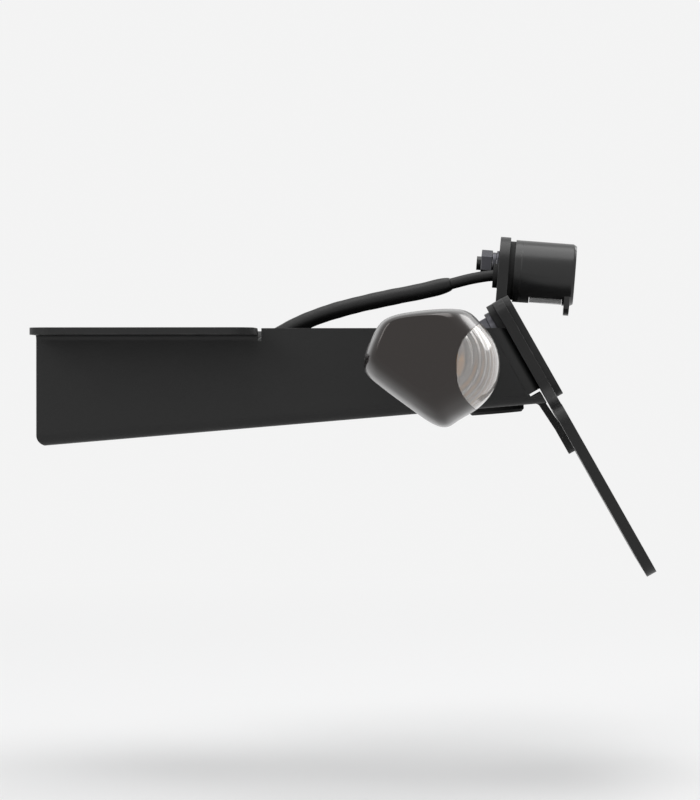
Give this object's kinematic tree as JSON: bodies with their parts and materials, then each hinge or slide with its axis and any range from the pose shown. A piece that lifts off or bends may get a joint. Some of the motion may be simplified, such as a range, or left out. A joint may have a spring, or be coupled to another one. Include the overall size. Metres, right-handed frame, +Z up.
{
  "type": "tail tidy",
  "caption": "Motorbike tail tidy: folded steel arm under the tail, inclined number-plate carrier, small plate lamp on its lead, and stalk indicators at both sides.",
  "frame": {"origin": "centre of the four mounting holes, on the mounting face (the upper faces of the two flanges)", "axes": "+X rearwards along the motorbike, +Y to the motorbike's right, +Z up, along the normal of the mounting face"},
  "size_m": [0.1745, 0.26, 0.0957],
  "materials": {
    "arm_coat": "matt black powder coat",
    "carrier_coat": "satin black powder coat",
    "fastener_steel": "zinc plated",
    "fastener_black": "black zinc plated",
    "lamp_coat": "satin black enamel",
    "clear_plastic": "clear, polished",
    "circuit_board": "green solder mask",
    "black_rubber": "matt",
    "lead_jacket": "semi-matt",
    "black_nylon": "moulded, matt",
    "pin_brass": "tinned brass",
    "indicator_black": "polished brown-black",
    "bright_reflector": "vacuum-metallised",
    "amber_bulb": "amber coated glass",
    "stalk_rubber": "matt, ribbed"
  },
  "bodies": {
    "root": {"main_bracket": "arm_coat", "plate_carrier": "carrier_coat", "rear_doubler": "carrier_coat", "carrier_screws": "fastener_black", "carrier_washers": "fastener_black", "carrier_nuts": "fastener_black", "lamp_housing": "lamp_coat", "lamp_lens": "clear_plastic", "lamp_led_board": "circuit_board", "lamp_base": "lamp_coat", "lamp_gasket": "black_rubber", "lamp_washer": "fastener_black", "lamp_spring_washer": "fastener_black", "lamp_nut": "fastener_black", "lead_grommet": "black_rubber", "lamp_lead": "lead_jacket", "lead_sleeve": "lead_jacket", "lead_clip": "black_nylon", "lead_connector": "black_nylon", "connector_pins": "pin_brass", "web_grommet": "black_rubber", "left_indicator_housing": "indicator_black", "left_indicator_lens": "clear_plastic", "left_indicator_reflector": "bright_reflector", "left_indicator_bulb": "amber_bulb", "left_indicator_stalk": "stalk_rubber", "left_indicator_stem": "fastener_steel", "left_indicator_washer": "fastener_steel", "left_indicator_nut": "fastener_steel", "right_indicator_housing": "indicator_black", "right_indicator_lens": "clear_plastic", "right_indicator_reflector": "bright_reflector", "right_indicator_bulb": "amber_bulb", "right_indicator_stalk": "stalk_rubber", "right_indicator_stem": "fastener_steel", "right_indicator_washer": "fastener_steel", "right_indicator_nut": "fastener_steel"}
  },
  "joints": []
}
